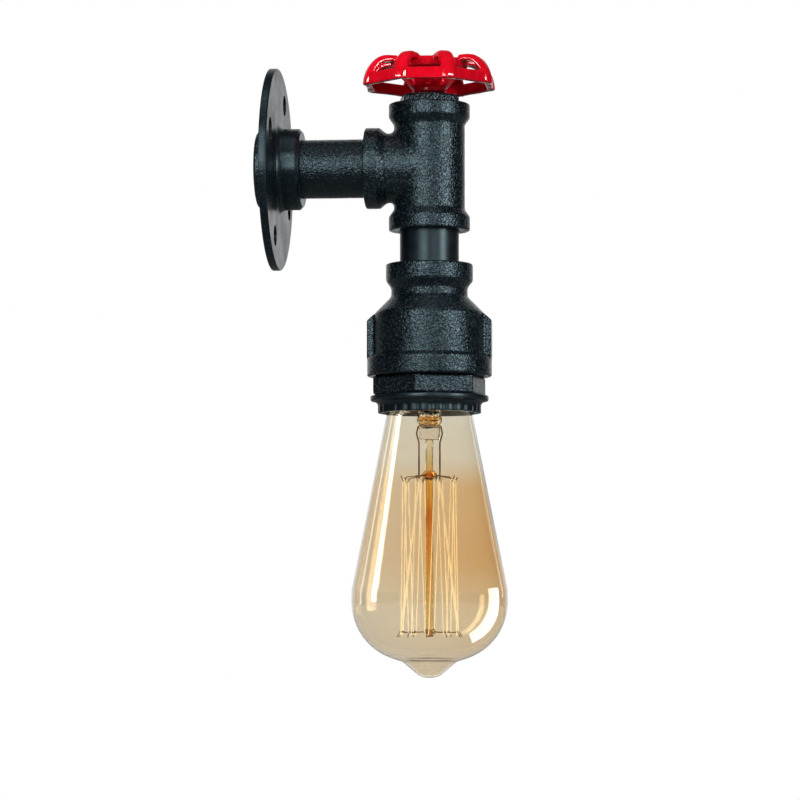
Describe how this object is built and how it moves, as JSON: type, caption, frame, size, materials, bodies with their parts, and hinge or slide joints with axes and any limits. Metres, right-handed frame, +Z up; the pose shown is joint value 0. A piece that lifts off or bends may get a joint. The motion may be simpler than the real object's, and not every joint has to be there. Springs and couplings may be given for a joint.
{
  "type": "wall light",
  "caption": "Wall light of black pipe fittings: round wall flange, short arm, tee with a red handwheel, reducer, lamp holder and a hanging cone-shaped filament bulb.",
  "frame": {"origin": "centre of the wall flange's back face, on the arm's centre line", "axes": "+X away from the wall along the arm, +Z up, +Y to complete the right-handed frame; the lamp's centre line is at X 72 mm"},
  "size_m": [0.1135, 0.092, 0.2816],
  "materials": {
    "flange_black": "even cast skin under semi-gloss black",
    "black_iron": "coarse cast skin under semi-gloss black",
    "black_pipe": "smooth satin black",
    "black_steel": "fine-grained semi-gloss black",
    "ring_black": "semi-gloss black with a paler lip",
    "wheel_red": "glossy red",
    "steel": "turned, bright",
    "zinc": "zinc plated",
    "porcelain": "glazed white",
    "brass": "rolled sheet brass",
    "block_plastic": "moulded white",
    "wire_brown": "brown sleeve",
    "wire_blue": "blue sleeve",
    "wire_earth": "green and yellow sleeve",
    "amber_glass": "thin amber-tinted clear glass",
    "clear_glass": "clear lamp glass",
    "orange_glass": "orange-tinted bead glass",
    "cap_black": "black glassy insulator",
    "solder": "soft solder",
    "fine_wire": "drawn support wire",
    "filament": "looped filament, pale yellow"
  },
  "bodies": {
    "fixture": {"wall_flange": "flange_black", "back_nut": "black_iron", "arm_nipple": "black_pipe", "tee": "black_iron", "top_plug": "black_iron", "drop_nipple": "black_pipe", "reducer": "black_iron", "hex_adapter": "black_steel", "shade_ring": "ring_black", "holder_shell": "black_steel", "holder_core": "porcelain", "screw_shell": "brass", "centre_contact": "brass", "contact_rivets": "brass", "live_terminal": "brass", "neutral_terminal": "brass", "terminal_screws": "zinc", "core_screws": "zinc", "earth_screw": "zinc", "earth_lug": "brass", "terminal_block": "block_plastic", "block_screws": "zinc", "live_wire": "wire_brown", "neutral_wire": "wire_blue", "earth_wire": "wire_earth"},
    "handwheel": {"handwheel": "wheel_red", "spindle": "steel", "spindle_clip": "steel", "wheel_washer": "zinc", "wheel_nut": "zinc"},
    "bulb": {"glass_envelope": "amber_glass", "bulb_cap": "brass", "cap_insulator": "cap_black", "cap_contact": "solder", "stem_glass": "clear_glass", "exhaust_tube": "clear_glass", "centre_rod": "clear_glass", "rod_beads": "orange_glass", "lead_wires": "fine_wire", "top_supports": "fine_wire", "bottom_supports": "fine_wire", "filament": "filament"}
  },
  "joints": [
    {"name": "wheel_turn", "type": "hinge", "parent": "fixture", "child": "handwheel", "pos_m": [0.072, 0, 0.05], "axis": [0, 0, 1], "continuous": true},
    {"name": "bulb_out", "type": "slide", "parent": "fixture", "child": "bulb", "axis": [0, 0, -1], "range_m": [0, 0.035]}
  ]
}
